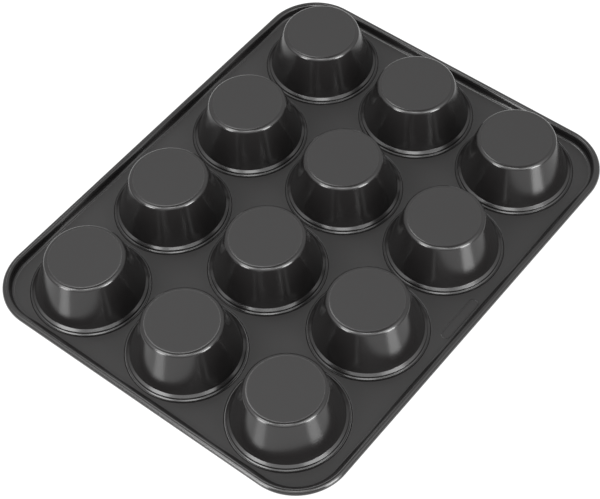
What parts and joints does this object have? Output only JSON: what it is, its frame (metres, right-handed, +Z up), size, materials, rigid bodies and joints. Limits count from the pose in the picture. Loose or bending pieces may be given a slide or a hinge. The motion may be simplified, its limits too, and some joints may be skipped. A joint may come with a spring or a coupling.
{
  "type": "muffin tin",
  "caption": "Rectangular metal muffin tin with round tapered cups set in a flat sheet that has rounded corners and a wired, rolled rim.",
  "frame": {"origin": "middle of the plane that the cup mouths rest on, with the tin lying mouths down", "axes": "+X along the side with four cups, +Y along the side with three cups, +Z up out of the cup floors"},
  "size_m": [0.336, 0.2662, 0.0323],
  "materials": {
    "dark_coating": "satin dark grey non-stick coating baked on steel sheet",
    "wire_steel": "plain drawn steel wire, hidden inside the rolled rim"
  },
  "bodies": {
    "root": {"deck_and_rim_sheet": "dark_coating", "rim_wire": "wire_steel", "cup_row1_column1": "dark_coating", "cup_row1_column2": "dark_coating", "cup_row1_column3": "dark_coating", "cup_row1_column4": "dark_coating", "cup_row2_column1": "dark_coating", "cup_row2_column2": "dark_coating", "cup_row2_column3": "dark_coating", "cup_row2_column4": "dark_coating", "cup_row3_column1": "dark_coating", "cup_row3_column2": "dark_coating", "cup_row3_column3": "dark_coating", "cup_row3_column4": "dark_coating"}
  },
  "joints": []
}
